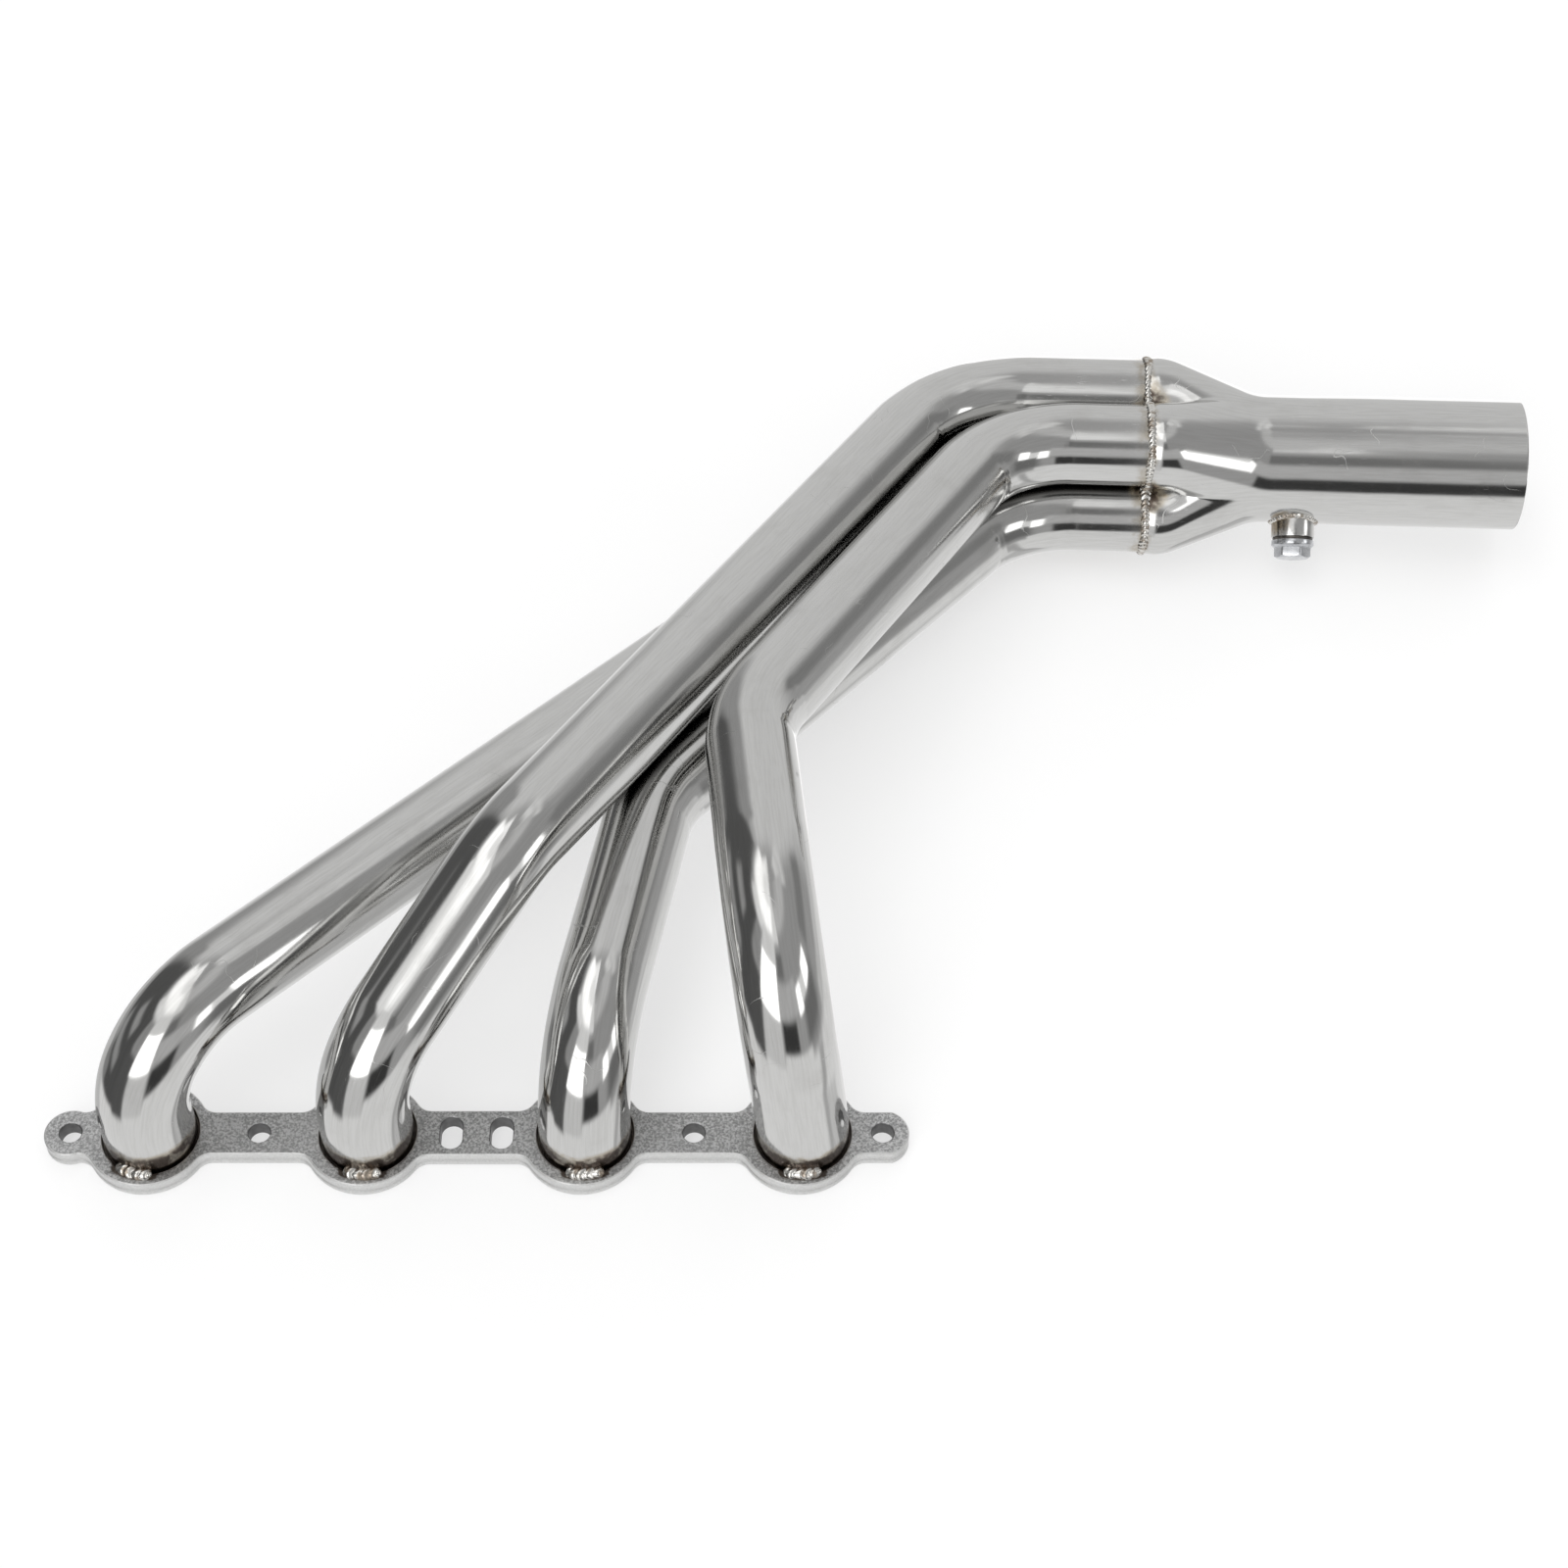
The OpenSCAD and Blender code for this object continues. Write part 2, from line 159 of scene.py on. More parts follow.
# The studio that the metal reflects. It starts at one level of grey, and each soft panel is painted
# over the ones before it: bearings and heights in degrees, level, and how many degrees its sides take
# to fade, with a second number where its top and bottom differ. Bearing 0 is towards -Y and 90 towards
# +X; height 90 is overhead.
ROOM_LEVEL = 0.42
PANELS = [
    # the pale floor, duller at the left behind the tubes and in one strip at the right
    ((-200, 200), (-95, -22), 0.88, 10),
    ((-152, -106), (-60, -24), 0.62, 10),
    ((70, 82), (-72, -22), 0.50, 8),
    # the light wall behind the object, duller at its left end
    ((128, 230), (-22, 62), 0.72, 26),
    ((-230, -150), (-22, 62), 0.74, 22),
    ((-160, -141), (-12, 40), 0.36, 10),
    # the dark side of the room at the left, with a few paler strips
    ((-143, -108), (-8, 54), 0.11, 8),
    ((-112, -62), (-25, 52), 0.10, 8),
    ((-118, -98), (-26, -13), 0.28, 8),
    ((-66, -42), (-29, 22), 0.11, 7, 8),
    ((-66, -42), (24, 54), 0.34, 8),
    ((-112, -86), (18, 31), 0.38, 8),
    ((-120, -84), (-7, 4), 0.36, 8),
    # the grey side of the room at the right
    ((14, 120), (60, 80), 0.62, 12),
    ((12, 110), (24, 60), 0.38, 12),
    ((50, 86), (-14, 12), 0.19, 14),
    ((94, 150), (-24, -11), 0.68, 8),
    ((88, 126), (12, 31), 0.26, 10),
    # in front, where the camera stands: a dark gap, and pale cards round it
    ((-2, 29), (-13, 8), 0.05, 6),
    ((-4, 56), (-40, -15), 0.86, 6),
    ((-3, 40), (11, 32), 0.55, 8, 5),
    ((-41, -5), (-26, 9), 0.72, 4, 8),
    ((-46, -4), (41, 60), 0.85, 8),
    # the lights overhead, and a dim strip below them
    ((-152, -4), (60, 80), 1.6, 8),
    ((-152, -4), (78, 95), 1.15, 6),
    ((-190, -150), (70, 95), 1.3, 8),
    ((-98, -46), (52, 62), 1.0, 7),
    ((-8, 14), (56, 86), 0.96, 6),
    ((-2, 16), (35, 50), 0.20, 8, 6),
    # bright windows in front: one at the left, and two at the right with a bar between them
    ((-44, -6), (8, 42), 2.4, 4, 3),
    ((40, 52), (8, 24), 2.3, 5),
    ((52, 64), (11, 24), 0.9, 4),
    ((64, 79), (11, 26), 2.3, 4),
    # a soft light high at the right behind, a dull patch low at the right, and a low light behind
    ((106, 153), (53, 61), 0.8, 9),
    ((118, 152), (62, 72), 0.85, 8),
    ((80, 114), (-72, -48), 0.62, 10),
    ((158, 184), (-48, -14), 1.4, 8),
]
# How much more of the studio's light falls on diffuse surfaces, which here are only the floor
FLOOR_BOOST = 0.8


# ---------------------------------------------------------------- shapes

def unit(v):
    return v / np.linalg.norm(v)


def smoothstep(x, low, high):
    t = np.clip((np.asarray(x, float) - low) / (high - low), 0, 1)
    return t * t * (3 - 2 * t)


def in_collector(x, r, turn):
    """A point at x along the collector's axis and r out from it, at that angle."""
    along = np.array([math.cos(YAW), -math.sin(YAW), 0])
    side = np.array([math.sin(YAW), math.cos(YAW), 0])
    return INLET + x * along + r * math.cos(turn) * side + np.array([0, 0, r * math.sin(turn)])


def collector_to_frame(points):
    """Turns points in the collector's own frame into the object's frame."""
    c, s = math.cos(YAW), math.sin(YAW)
    turn = np.array([[c, s, 0], [-s, c, 0], [0, 0, 1]])
    return np.asarray(points) @ turn.T + INLET


def bung_to_frame(points):
    """Turns points whose Z is the bung's axis into the object's frame."""
    c, s = math.cos(BUNG_TURN), math.sin(BUNG_TURN)
    p = np.asarray(points, float)
    x, y, z = p[..., 0], p[..., 1], p[..., 2]
    return collector_to_frame(np.stack([x + BUNG_X, c * z + s * y, s * z - c * y], -1))


def grid_faces(rows, columns, close_rows, close_columns, start=0):
    """Quads between neighbouring rows and columns of a grid of points."""
    faces = []
    for r in range(rows if close_rows else rows - 1):
        for c in range(columns if close_columns else columns - 1):
            r2, c2 = (r + 1) % rows, (c + 1) % columns
            faces.append((start + r * columns + c, start + r * columns + c2,
                          start + r2 * columns + c2, start + r2 * columns + c))
    return faces


def add_piece(name, points, faces, body, material, replaced, sharp=35, attributes=None):
    """Makes a piece from points in millimetres, and puts it on its body in place of CAD nodes."""
    mesh = bpy.data.meshes.new(name)
    mesh.from_pydata((np.asarray(points, float) * MM).tolist(), [], faces)
    for key, values in (attributes or {}).items():
        values = np.asarray(values, np.float32)
        kind = "FLOAT_VECTOR" if values.ndim == 2 else "FLOAT"
        field = mesh.attributes.new(key, kind, "POINT")
        field.data.foreach_set("vector" if values.ndim == 2 else "value", values.ravel())
    mesh.shade_smooth()
    mesh.set_sharp_from_angle(angle=math.radians(sharp))
    mesh.materials.append(material)
    mesh.update()
    piece = bpy.data.objects.new(name, mesh)
    scene.collection.objects.link(piece)
    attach(piece, body)
    if replaced:
        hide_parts(*replaced)
    return piece


def turn_outwards(points, faces):
    """Reverses all faces if together they enclose a negative volume."""
    p = np.asarray(points, float)
    quads = np.array([f for f in faces if len(f) == 4])
    a, b, c, d = (p[quads[:, k]] for k in range(4))
    volume = np.einsum("ij,ij->", a, np.cross(b, c)) + np.einsum("ij,ij->", a, np.cross(c, d))
    return faces if volume > 0 else [tuple(reversed(f)) for f in faces]


def ring_angles(count):
    return np.arange(count) * 2 * math.pi / count


def uneven_ring(angles, rng, lobes):
    """A random wavy value round a closed ring, mostly between -1 and 1."""
    return sum(rng.uniform(0.3, 1) * np.cos(k * angles + rng.uniform(0, 6.3)) for k in lobes) / WAVE_SUM


# ---------------------------------------------------------------- primary tubes

def tube_route(i):
    """Corner points of tube i, from its end in the flange to its end in the collector."""
    points = [[PORTS[i], 0, TUBE_RECESS]] + CORNERS[i]
    points += [in_collector(x, CLOVER_R, TUBE_TURNS[i]) for x in (-LAST_RUNS[i], 0)]
    return [np.array(p, float) for p in points]


def walk(points, radii, straight_step=4.0, bend_step=1.6):
    """Samples the axis of a bent tube. Returns its points, its tangents, the distance of each
    along it, and the bends as (distance where it starts, where it ends, way to its hub there)."""
    axis, tangents, reach, bends = [], [], [], []
    start, gone = points[0], 0.0
    for k in range(1, len(points)):
        ahead = unit(points[k] - points[k - 1])
        last = k == len(points) - 1
        cut = 0.0
        if not last:
            after = unit(points[k + 1] - points[k])
            turn = math.acos(float(ahead @ after))
            radius = radii[k - 1]
            cut = radius * math.tan(turn / 2)
        stop = points[k] - ahead * cut
        length = float(np.linalg.norm(stop - start))
        for t in np.arange(0, length, straight_step):
            axis.append(start + ahead * t)
            tangents.append(ahead)
            reach.append(gone + t)
        gone += length
        if last:
            axis.append(stop)
            tangents.append(ahead)
            reach.append(gone)
            break
        inward = unit(after - ahead * math.cos(turn))
        hub = stop + inward * radius
        arc = radius * turn
        inward_end = unit(hub - (points[k] + after * cut))
        bends.append((gone, gone + arc, inward, inward_end))
        for t in np.arange(0, arc, bend_step):
            a = t / radius
            axis.append(hub - inward * radius * math.cos(a) + ahead * radius * math.sin(a))
            tangents.append(ahead * math.cos(a) + inward * math.sin(a))
            reach.append(gone + t)
        gone += arc
        start = points[k] + after * cut
    return np.array(axis), np.array(tangents), np.array(reach), bends


def carried_frames(tangents, first):
    """Two directions across the tube at each sample, carried along it with no twist."""
    side = unit(first - tangents[0] * float(first @ tangents[0]))
    sides = [side]
    for t in tangents[1:]:
        side = unit(side - t * float(side @ t))
        sides.append(side)
    sides = np.array(sides)
    return sides, np.cross(tangents, sides)


def polish_waves(reach, angles, seed, calm, lively):
    """The slow hollows that hand polishing leaves: a sum of waves along and round the tube,
    calm millimetres deep, and deeper where lively is 1."""
    waves, shortest, longest, lively_depth = 14, 22, 70, 0.05
    rng = np.random.default_rng(seed)
    total = np.zeros((len(reach), len(angles)))
    for _ in range(waves):
        wave = rng.uniform(shortest, longest)
        lobes = rng.integers(0, 5)
        total += rng.uniform(0.3, 1) * np.cos(
            2 * math.pi * reach[:, None] / wave + lobes * angles[None, :] + rng.uniform(0, 2 * math.pi))
    return total / WAVE_SUM * (calm + (lively_depth - calm) * lively[:, None])


def gap_to_tubes(points, tubes):
    """Distance in millimetres from each point to the nearest skin of the given tubes."""
    axes = np.concatenate([walk(tube_route(k), BEND_RADII[k])[0] for k in tubes])
    tree = KDTree(len(axes))
    for n, spot in enumerate(axes):
        tree.insert(spot, n)
    tree.balance()
    return np.array([tree.find(p)[2] for p in points]) - TUBE_R


def make_tube(i, material):
    columns = TUBE_COLUMNS
    axis, tangents, reach, bends = walk(tube_route(i), BEND_RADII[i])
    side_a, side_b = carried_frames(tangents, np.array([0.0, -1.0, 0.0]))
    angles = ring_angles(columns)
    radial = (side_a[:, None, :] * np.cos(angles)[None, :, None]
              + side_b[:, None, :] * np.sin(angles)[None, :, None])
    in_bend = np.zeros(len(reach))
    crease_length = 2.6
    # the foot and the bends shine like mirrors, and the long straights are a little duller
    mirror = 1 - smoothstep(reach, 40, 110)
    outer = np.full(radial.shape[:2], float(TUBE_R))
    for low, high, inward, inward_end in bends:
        weight = smoothstep(reach, low - 3, low + 15) * (1 - smoothstep(reach, high - 15, high + 3))
        in_bend = np.maximum(in_bend, weight)
        near_bend = smoothstep(reach, low - 35, low + 5) * (1 - smoothstep(reach, high - 5, high + 35))
        mirror = np.maximum(mirror, near_bend)
        share = np.clip((reach - low) / (high - low), 0, 1)[:, None]
        hub = inward[None, :] * (1 - share) + inward_end[None, :] * share
        hub = hub / np.linalg.norm(hub, axis=1)[:, None]
        facing = np.einsum("rck,rk->rc", radial, hub)
        outer -= weight[:, None] * (BEND_THIN + BEND_FLAT * np.clip(-facing, 0, 1) ** 2)
        # small creases where the mandrel let go of the inside of the bend
        for place, depth in ((low + 5, 0.2), (low + 11, 0.1), (high - 6, 0.13), (high - 12, 0.06)):
            ripple = np.exp(-(((reach - place) / crease_length) ** 2))[:, None]
            outer -= depth * ripple * smoothstep(facing, 0.55, 0.98)
    outer -= POLISH_CUT + polish_waves(reach, angles, 11 + i, 0.012, in_bend)
    inner = np.full((len(reach), 1), float(BORE_R)) + BEND_THIN * in_bend[:, None]
    outside = axis[:, None, :] + radial * outer[:, :, None]
    inside = (axis[:, None, :] + radial * inner[:, :, None])[::-1]
    rings = np.concatenate([outside, inside])
    rows = len(rings)
    points = rings.reshape(-1, 3)
    faces = grid_faces(rows, columns, True, True)
    there = np.concatenate([reach, reach[::-1]])
    # the polishing pattern follows the tube as if it was straight
    straight = (TUBE_R * np.cos(angles), TUBE_R * np.sin(angles), there[:, None] + TUBE_PATTERN_SHIFT * i)
    rolled = np.stack([np.broadcast_to(v, (rows, columns)) for v in straight], -1).reshape(-1, 3) * MM
    height = points[:, 2]
    # heat tint beside the welds, strongest on the near side of the foot and in the collector's valleys
    behind = np.clip((points[:, 1] + 12) / (2 * TUBE_R), 0, 1)
    foot = 1 - smoothstep(height + 9 * behind, FLANGE_T + 6, FLANGE_T + 18)
    end = 1 - smoothstep(np.repeat(reach[-1] - there, columns), 2, 15)
    others = [k for k in range(4) if k != i]
    # painted shade: how close the other tubes come, for darkening the colour in the gaps between them
    shaded = 1 - smoothstep(gap_to_tubes(points, others), 0.5, 11)
    scorch = np.maximum(foot, end * (0.45 + 0.55 * shaded))
    satin = np.repeat(1 - np.concatenate([mirror, mirror[::-1]]), columns)
    inside = np.repeat(np.arange(rows) >= len(outside), columns)
    fields = {"rolled": rolled, "scorch": scorch, "shaded": shaded * (1 - foot), "satin": satin,
              "inside": inside}
    add_piece(f"primary_tube_{i + 1}_polished", points, turn_outwards(points, faces), "header", material,
              [f"primary_tube_{i + 1}"], 50, fields)


# ---------------------------------------------------------------- head flange

def arc(x, y, r, first, last, step=3.0):
    """Points on an arc, angles in degrees."""
    count = max(2, int(abs(last - first) / step) + 1)
    turns = np.radians(np.linspace(first, last, count))
    return [(x + r * math.cos(t), y + r * math.sin(t)) for t in turns]


def flange_outline():
    """The plate's outline, counter-clockwise."""
    tab_edge = math.degrees(math.asin(STRAP_H / 2 / TAB_R))
    top = arc(-END_HOLE_X, 0, TAB_R, 180, tab_edge)
    for i, port in enumerate(PORTS):
        x = port + LOBE_SHIFT
        for side in (-1, 1):
            mid = (i, side) in ((1, 1), (2, -1))
            y = (MID_STRAP_H if mid else STRAP_H) / 2 + LOBE_FILLET
            reach = math.sqrt((LOBE_R + LOBE_FILLET) ** 2 - y ** 2)
            lean = math.degrees(math.atan2(y, reach))
            if side < 0:
                top += arc(x - reach, y, LOBE_FILLET, -90, -lean)
                first = 180 - lean
            else:
                top += arc(x, 0, LOBE_R, first, lean)[1:-1]
                top += arc(x + reach, y, LOBE_FILLET, 180 + lean, 270)
    top += arc(END_HOLE_X, 0, TAB_R, tab_edge, 0)
    bottom = [(x, -y) for x, y in reversed(top[1:-1])]
    return list(reversed(top + bottom))


def offset_loop(loop, distance):
    """The loop moved by distance to its left, which is into the plate."""
    p = np.array(loop)
    before, after = np.roll(p, 1, 0), np.roll(p, -1, 0)
    a = (p - before) / np.linalg.norm(p - before, axis=1)[:, None]
    b = (after - p) / np.linalg.norm(after - p, axis=1)[:, None]
    left = np.stack([-(a + b)[:, 1], (a + b)[:, 0]], 1)
    left /= np.linalg.norm(left, axis=1)[:, None]
    slack = np.clip(np.einsum("ij,ij->i", left, np.stack([-a[:, 1], a[:, 0]], 1)), 0.5, 1)
    return p + left * (distance / slack)[:, None]


def rounded_wall(radius, top_z, bottom_z, steps=5):
    """(inset, z) pairs down a wall with both edges rounded, and a flat hem at each end."""
    turns = np.linspace(0, math.pi / 2, steps)
    top = [(radius * (1 - math.sin(t)), top_z - radius * (1 - math.cos(t))) for t in turns]
    low = [(inset, bottom_z + top_z - z) for inset, z in reversed(top)]
    # a shallow line where the cutting beam broke through
    line = bottom_z + 0.4 * (top_z - bottom_z)
    depth, half, floor_half = 0.28, 0.55, 0.2
    groove = [(0, line + half), (depth, line + floor_half), (depth, line - floor_half), (0, line - half)]
    hem = radius + 0.35
    return [(hem, top_z)] + top + groove + low + [(hem, bottom_z)]


def chamfered_wall(size, top_z, bottom_z):
    """(inset, z) pairs down a wall with a chamfer at both edges."""
    return [(size + 0.3, top_z), (size, top_z), (size * 0.85, top_z - 0.05), (0.05, top_z - size * 0.9),
            (0, top_z - size), (0, bottom_z + size), (0.05, bottom_z + size * 0.9),
            (size * 0.85, bottom_z + 0.05), (size, bottom_z), (size + 0.3, bottom_z)]


def make_flange(material):
    wall = rounded_wall(EDGE_ROUND, FLANGE_T, 0)
    hole = chamfered_wall(HOLE_CHAMFER, FLANGE_T, 0)
    loops = [(flange_outline(), wall)]
    for x in (-END_HOLE_X, -PORT_PITCH, PORT_PITCH, END_HOLE_X):
        loops.append((arc(x, 0, HOLE_R, 0, -355, 5), hole))
    for x in (-SLOT_PITCH / 2, SLOT_PITCH / 2):
        ends = arc(x, SLOT_THROW, SLOT_R, 180, 0, 5) + arc(x, -SLOT_THROW, SLOT_R, 0, -180, 5)
        loops.append((ends, hole))
    pocket_z = FLANGE_T - RELIEF_DEPTH
    step = RELIEF_GAP - PORT_CLEARANCE
    # the rings on the top face are there to carry the heat tint
    relief = [(step + out, FLANGE_T) for out in (3.9, 3.1, 2.2, 1.4, 0.6)]
    relief += [(step + 0.45, FLANGE_T - 0.06), (step + 0.05, FLANGE_T - 0.5), (step, FLANGE_T - 0.7),
               (step, pocket_z + 0.6), (step - 0.2, pocket_z + 0.1), (step - 0.5, pocket_z),
               (0.1, pocket_z), (0, pocket_z - 0.1), (0, 0.2), (0.2, 0), (0.5, 0)]
    for x in PORTS:
        loops.append((arc(x, 0, TUBE_R + PORT_CLEARANCE, 0, -357, 3), relief))
    points, faces, edge, bore = [], [], [], []
    caps = ([], [])
    for loop, profile in loops:
        count = len(loop)
        start = len(points)
        for inset, z in profile:
            ring = offset_loop(loop, inset)
            points += [(x, y, z) for x, y in ring]
            hem = inset in (profile[0][0], profile[-1][0])
            worn = 0.0 if hem or (profile is relief and inset > step + 1) else 1.0
            edge += [worn * (0.35 if profile is hole else 1.0)] * count
            # the walls of the bolt holes and slots are marked for painted shade
            bore += [float(profile is hole and inset < 0.1)] * count
        faces += grid_faces(len(profile), count, False, True, start)
        caps[0].append(list(range(start, start + count)))
        last = start + (len(profile) - 1) * count
        caps[1].append(list(range(last, last + count)))
    for cap in caps:
        order = [k for loop in cap for k in loop]
        flat = [[Vector((points[k][0], points[k][1], 0)) for k in loop] for loop in cap]
        up = cap is caps[0]
        for tri in tessellate_polygon(flat):
            ids = [order[k] for k in tri]
            a, b, c = (np.array(points[k][:2]) for k in ids)
            area = (b[0] - a[0]) * (c[1] - a[1]) - (b[1] - a[1]) * (c[0] - a[0])
            if (area > 0) != up:
                ids.reverse()
            faces.append(tuple(ids))
    points = np.array(points)
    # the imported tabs' arcs are chords, and the plate stays inside their box
    points[:, 0] = np.maximum(points[:, 0], cad_box[0][0] / MM)
    scorch = np.zeros(len(points))
    for x, turn in zip(PORTS, BEAD_TURNS):
        near = np.hypot(points[:, 0] - x, points[:, 1])
        bearing = np.degrees(np.arctan2(points[:, 1], points[:, 0] - x))
        beside = 1 - smoothstep(np.abs(bearing - turn), BEAD_SPAN, BEAD_SPAN + 9)
        spread = TUBE_R + 1.3 + 3.9 * beside
        ring = (1 - smoothstep(near, spread - 1, spread + 0.6)) * (points[:, 2] > 1)
        scorch = np.maximum(scorch, ring)
    fields = {"scorch": scorch, "edge": np.array(edge), "bore": np.array(bore)}
    add_piece("head_flange_plate", points, orient_walls(points, faces), "header", material,
              ["head_flange"], 40, fields)


def orient_walls(points, faces):
    """Gives every face of the plate the same winding as its neighbours, outwards."""
    mesh = bpy.data.meshes.new("winding")
    mesh.from_pydata(np.asarray(points).tolist(), [], faces)
    work = bmesh.new()
    work.from_mesh(mesh)
    bmesh.ops.recalc_face_normals(work, faces=work.faces)
    found = [tuple(v.index for v in f.verts) for f in work.faces]
    work.free()
    bpy.data.meshes.remove(mesh)
    return found


# ---------------------------------------------------------------- weld beads

def make_bead(name, replaced, material, centre, out, across, width, height, pitch, depth, closed, seed,
              curve, bow):
    """A bead of overlapping ripples. centre, out and across are arrays along it; width and height
    are its half sizes there, pitch is the length of a ripple and depth how far they stand apart.
    A small curve squares the ripples' backs, and bow bends their lines into arcs."""
    rng = np.random.default_rng(seed)
    rows, columns = len(centre), 28
    steps = np.linalg.norm(np.diff(centre, axis=0), axis=1)
    reach = np.concatenate([[0], np.cumsum(steps)])
    whole = reach[-1] + (np.linalg.norm(centre[0] - centre[-1]) if closed else 0)
    count = max(2, round(whole / pitch))
    angles = ring_angles(columns)
    phase = reach[:, None] / whole * count + bow * np.sin(angles)[None, :] ** 2 * 0.35
    ripple = np.abs(np.sin(math.pi * phase)) ** curve
    lumps = rng.uniform(-1, 1, count + 2)
    index = np.clip(np.floor(phase).astype(int), 0, count + 1) % (count if closed else count + 2)
    blend = phase - np.floor(phase)
    following = (index + 1) % (count if closed else count + 2)
    nearer = smoothstep(blend, 0.3, 1)
    uneven = lumps[index] * (1 - nearer) + lumps[following] * nearer
    size = 1 + depth * (ripple - 0.6) + 0.12 * uneven
    width = np.broadcast_to(width, (rows,))[:, None]
    height = np.broadcast_to(height, (rows,))[:, None]
    if not closed:
        ends = np.sqrt(np.clip(1 - np.abs(np.linspace(-1, 1, rows)) ** 5, 0, 1))[:, None]
        size = size * np.clip(ends, 0.02, 1)
    rings = (centre[:, None, :]
             + across[:, None, :] * (width * size * np.cos(angles)[None, :])[:, :, None]
             + out[:, None, :] * (height * size * np.sin(angles)[None, :])[:, :, None])
    points = rings.reshape(-1, 3)
    faces = grid_faces(rows, columns, closed, True)
    if not closed:
        faces += [tuple(range(columns)), tuple(range((rows - 1) * columns, rows * columns))]
    scorch = np.clip(0.5 + 0.5 * uneven, 0, 1).ravel()
    # painted shade along both toes and in the creases between ripples
    toe = np.broadcast_to(1 - smoothstep(np.sin(angles), 0.1, 0.5), ripple.shape)
    crease = np.maximum(0.75 * (1 - ripple), toe).ravel()
    add_piece(name, points, turn_outwards(points, faces), "header", material, replaced,
              60, {"scorch": scorch, "crease": crease})


def make_flange_weld(i, material):
    turns = np.radians(BEAD_TURNS[i] + np.linspace(-BEAD_SPAN, BEAD_SPAN, 120))
    foot = np.stack([np.cos(turns), np.sin(turns), 0 * turns], 1)
    up = np.array([0, 0, 1.0])
    # the welder's hand sways a little
    sways = np.random.default_rng(60 + i).uniform(-0.45, 0.45, 6)
    sway = np.interp(turns, np.linspace(turns[0], turns[-1], len(sways)), sways)
    centre = foot * (TUBE_R + 1.25 + sway)[:, None] + np.array([PORTS[i], 0, FLANGE_T + 0.3])
    lean = math.radians(45)
    out = foot * math.cos(lean) + up * math.sin(lean)
    across = foot * math.sin(lean) - up * math.cos(lean)
    make_bead(f"flange_weld_{i + 1}_bead", [f"flange_weld_{i + 1}"], material, centre, out, across,
              width=3.6, height=2.8, pitch=4.2, depth=0.24, closed=False, seed=40 + i, curve=0.6, bow=1.9)


def around_lobe(offset, radius, off):
    """Distance from the collector's axis to a lobe, a circle of that radius whose middle is offset
    from the axis, in a direction off radians from the lobe's middle."""
    chord = radius ** 2 - (offset * np.sin(off)) ** 2
    return offset * np.cos(off) + np.sqrt(np.clip(chord, 0, None))


def clover_radius(x, off):
    """Distance from the collector's axis to its skin, off radians from the middle of a lobe."""
    t = taper(x)
    offset = CLOVER_R * (1 - t)
    radius = CUP_R + (UNSIZED_R - CUP_R) * t - NECK_DROP * np.clip(1 - x / NECK_L, 0, 1) ** 2
    return around_lobe(offset, radius, off)


def ease(u):
    """u where it's positive and 0 where it's negative, with a small round between them."""
    u = np.asarray(u, float)
    return np.where(u > EASE, u, np.where(u < -EASE, 0, (u + EASE) ** 2 / (4 * EASE)))


def taper(x):
    """0 at the clover and 1 at the round pipe."""
    return 1 - ease(1 - ease((np.asarray(x, float) - SHOULDER_X) / TAPER_L))


def off_lobe(angles):
    """Angle from the middle of the nearest lobe, for angles around the collector."""
    return (angles - CLOVER_TURN + math.pi / 4) % (math.pi / 2) - math.pi / 4


def make_collector_weld(material):
    angles = ring_angles(1400)
    off = off_lobe(angles)
    outline = around_lobe(CLOVER_R, TUBE_R, off)
    # the bead bridges each valley at about this radius, and a soft maximum rounds it into the lobes
    valley_r, softness, sink = 27.6, 3.0, 0.35
    radius = (outline + valley_r + np.sqrt((outline - valley_r) ** 2 + softness)) / 2 - sink
    valley = smoothstep(np.abs(off), math.radians(33), math.radians(44))
    ring = np.stack([0 * angles, radius * np.cos(angles), radius * np.sin(angles)], 1)
    along = np.roll(ring, -1, 0) - np.roll(ring, 1, 0)
    along /= np.linalg.norm(along, axis=1)[:, None]
    out = np.cross(along, np.array([1.0, 0, 0]))
    out *= np.sign(np.einsum("ij,ij->i", out, ring))[:, None]
    origin = collector_to_frame(np.zeros((1, 3)))
    rng = np.random.default_rng(5)
    ring[:, 0] += 0.45 * uneven_ring(angles, rng, range(2, 16))
    centre = collector_to_frame(ring)
    out = collector_to_frame(out) - origin
    across = np.broadcast_to(in_collector(1, 0, 0) - INLET, centre.shape)
    swell = uneven_ring(angles, rng, range(3, 22))
    width = 2.35 + 1.3 * valley + 0.4 * swell
    height = 1.85 + 0.9 * valley + 0.2 * swell
    make_bead("collector_weld_bead", ["collector_weld"], material, centre, out, across,
              width, height, pitch=3.1, depth=0.36, closed=True, seed=7, curve=0.75, bow=1.8)


def make_bung_weld(material):
    turns = ring_angles(240)
    spread = BUNG_R + 0.5
    x, y = spread * np.cos(turns), spread * np.sin(turns)
    z = np.sqrt(UNSIZED_R ** 2 - y ** 2)
    ring = np.stack([x, y, z], 1)
    away = np.stack([np.cos(turns), np.sin(turns), 0 * turns], 1)
    normal = np.stack([0 * x, y / UNSIZED_R, z / UNSIZED_R], 1)
    out = away + normal
    out /= np.linalg.norm(out, axis=1)[:, None]
    along = np.roll(ring, -1, 0) - np.roll(ring, 1, 0)
    across = np.cross(along / np.linalg.norm(along, axis=1)[:, None], out)
    origin = bung_to_frame(np.zeros((1, 3)))
    make_bead("bung_weld_bead", ["bung_weld"], material, bung_to_frame(ring),
              bung_to_frame(out) - origin, bung_to_frame(across) - origin,
              width=1.7, height=1.35, pitch=2.3, depth=0.3, closed=True, seed=3, curve=0.9, bow=1.2)


# ---------------------------------------------------------------- collector

